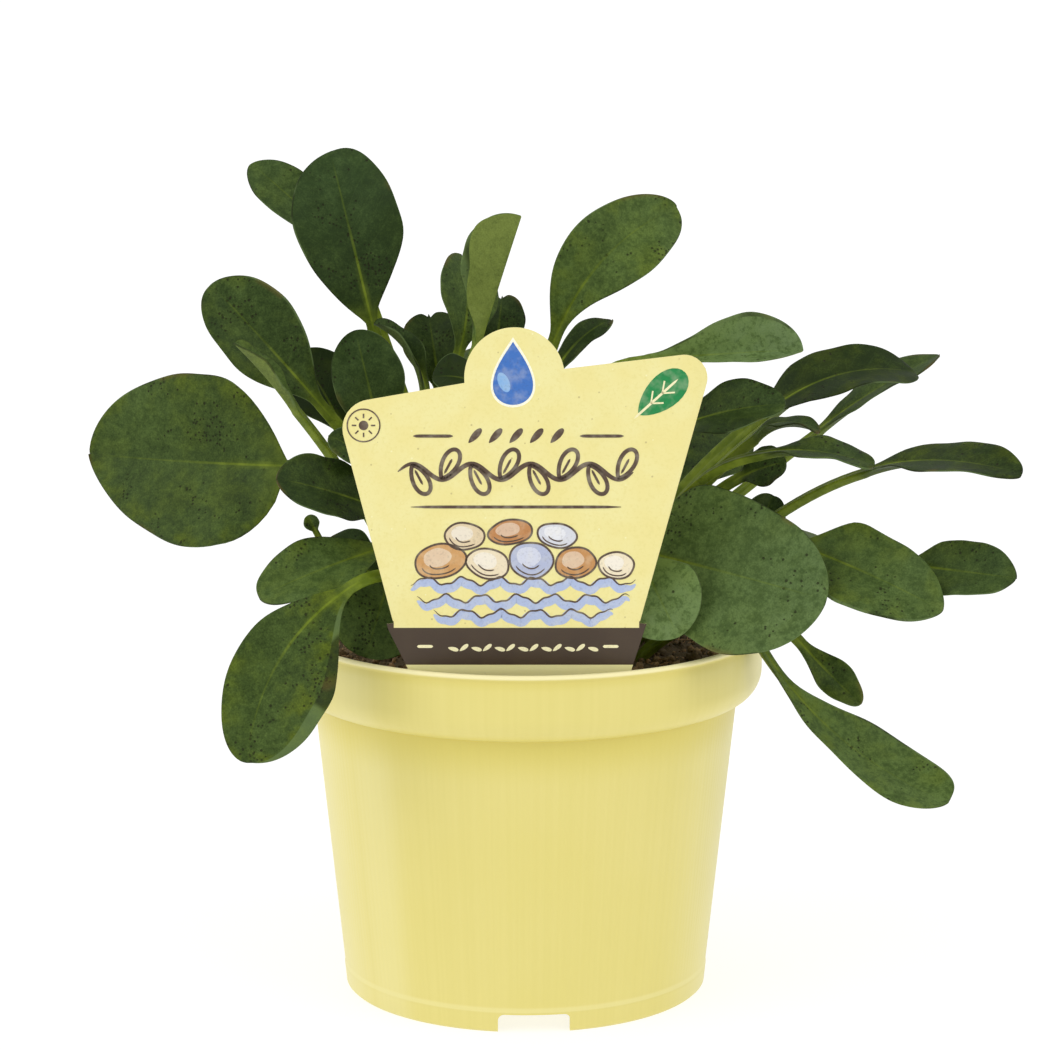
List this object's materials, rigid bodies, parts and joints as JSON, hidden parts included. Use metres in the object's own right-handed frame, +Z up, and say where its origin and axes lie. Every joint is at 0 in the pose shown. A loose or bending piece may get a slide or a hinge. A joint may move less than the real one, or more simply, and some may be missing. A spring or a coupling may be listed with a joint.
{
  "type": "potted oyster plant",
  "caption": "Young seaside herb with fleshy spoon-shaped leaves on long stalks, in a round plastic nursery pot of peat with a stiff label stood in at the front.",
  "frame": {"origin": "on the ground under the middle of the pot, at the pot's axis to within a millimetre or so of the middle of the part's box", "axes": "+Z up, +X to the right seen from the front, -Y to the front, where the label's printed face looks"},
  "size_m": [0.2336, 0.1419, 0.2106],
  "materials": {
    "pot_plastic": "satin",
    "peat": "matte",
    "label_plastic": "satin",
    "leaf": "satin"
  },
  "bodies": {
    "root": {"pot": "pot_plastic", "soil": "peat", "label": "label_plastic", "leaf_left_back_high": "leaf", "leaf_left_tall": "leaf", "leaf_left_upper": "leaf", "leaf_left_edge_on": "leaf", "leaf_left_round": "leaf", "leaf_left_shaded": "leaf", "leaf_left_low_middle": "leaf", "leaf_left_small": "leaf", "leaf_centre_left": "leaf", "leaf_centre_curled": "leaf", "leaf_centre_notched": "leaf", "leaf_centre_back": "leaf", "leaf_centre_folded": "leaf", "leaf_centre_small": "leaf", "leaf_centre_low": "leaf", "leaf_right_tall": "leaf", "leaf_right_dark": "leaf", "leaf_right_folded": "leaf", "leaf_right_upper": "leaf", "leaf_right_arched": "leaf", "leaf_right_far_back": "leaf", "leaf_right_narrow": "leaf", "leaf_right_bent": "leaf", "leaf_right_little": "leaf", "leaf_right_long": "leaf", "leaf_right_hidden": "leaf", "leaf_right_round": "leaf", "leaf_right_pale": "leaf", "leaf_right_front": "leaf", "leaf_right_far": "leaf", "leaf_right_drooping_small": "leaf", "leaf_right_drooping": "leaf", "leaf_left_low": "leaf", "leaf_left_bud": "leaf", "leaf_left_drooping": "leaf", "leaf_left_low_dark": "leaf", "leaf_back_middle": "leaf", "leaf_back_right_middle": "leaf", "leaf_back_left_middle": "leaf", "leaf_back_upper": "leaf", "leaf_back_right": "leaf", "leaf_back_left": "leaf", "leaf_back_low": "leaf", "leaf_back_right_low": "leaf", "leaf_back_left_low": "leaf", "leaf_back_far_right": "leaf", "leaf_back_far_left": "leaf"}
  },
  "joints": []
}
